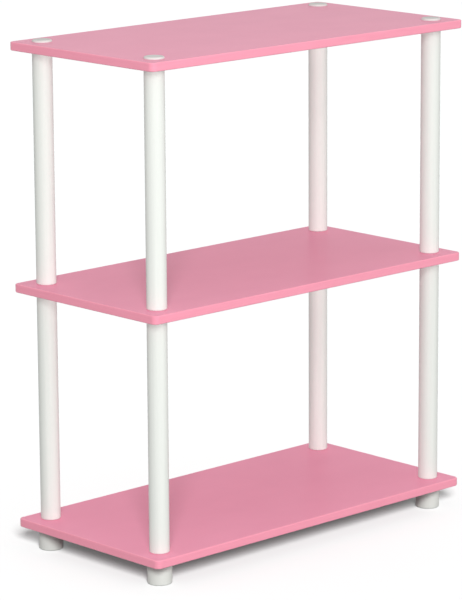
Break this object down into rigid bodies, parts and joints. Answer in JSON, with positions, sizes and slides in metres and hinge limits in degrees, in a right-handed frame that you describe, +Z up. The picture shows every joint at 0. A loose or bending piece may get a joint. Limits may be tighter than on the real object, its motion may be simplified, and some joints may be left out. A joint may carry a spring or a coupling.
{
  "type": "three-tier shelf",
  "caption": "Open free-standing shelf with rectangular laminated boards held level by round tube posts, with screw-in end plugs, low round caps and round feet.",
  "frame": {"origin": "on the floor, under the middle of the shelf", "axes": "+X along the shelf's width, to the right seen from the front; +Y from front to back; +Z up"},
  "size_m": [0.6, 0.295, 0.726],
  "materials": {
    "panel_laminate": "satin pink laminate on particle board",
    "edge_band": "satin pink edge strip",
    "tube": "smooth white extruded tube",
    "plug": "moulded white plug",
    "foot": "moulded white foot",
    "cap": "moulded white cap"
  },
  "bodies": {
    "root": {"bottom_panel": "panel_laminate", "bottom_panel_edge_band": "edge_band", "cap_back_left": "cap", "cap_back_right": "cap", "cap_front_left": "cap", "cap_front_right": "cap", "foot_back_left": "foot", "foot_back_right": "foot", "foot_front_left": "foot", "foot_front_right": "foot", "lower_socket_plug_back_left": "plug", "lower_socket_plug_back_right": "plug", "lower_socket_plug_front_left": "plug", "lower_socket_plug_front_right": "plug", "lower_stud_plug_back_left": "plug", "lower_stud_plug_back_right": "plug", "lower_stud_plug_front_left": "plug", "lower_stud_plug_front_right": "plug", "lower_tube_back_left": "tube", "lower_tube_back_right": "tube", "lower_tube_front_left": "tube", "lower_tube_front_right": "tube", "middle_panel": "panel_laminate", "middle_panel_edge_band": "edge_band", "top_panel": "panel_laminate", "top_panel_edge_band": "edge_band", "upper_socket_plug_back_left": "plug", "upper_socket_plug_back_right": "plug", "upper_socket_plug_front_left": "plug", "upper_socket_plug_front_right": "plug", "upper_stud_plug_back_left": "plug", "upper_stud_plug_back_right": "plug", "upper_stud_plug_front_left": "plug", "upper_stud_plug_front_right": "plug", "upper_tube_back_left": "tube", "upper_tube_back_right": "tube", "upper_tube_front_left": "tube", "upper_tube_front_right": "tube"}
  },
  "joints": []
}
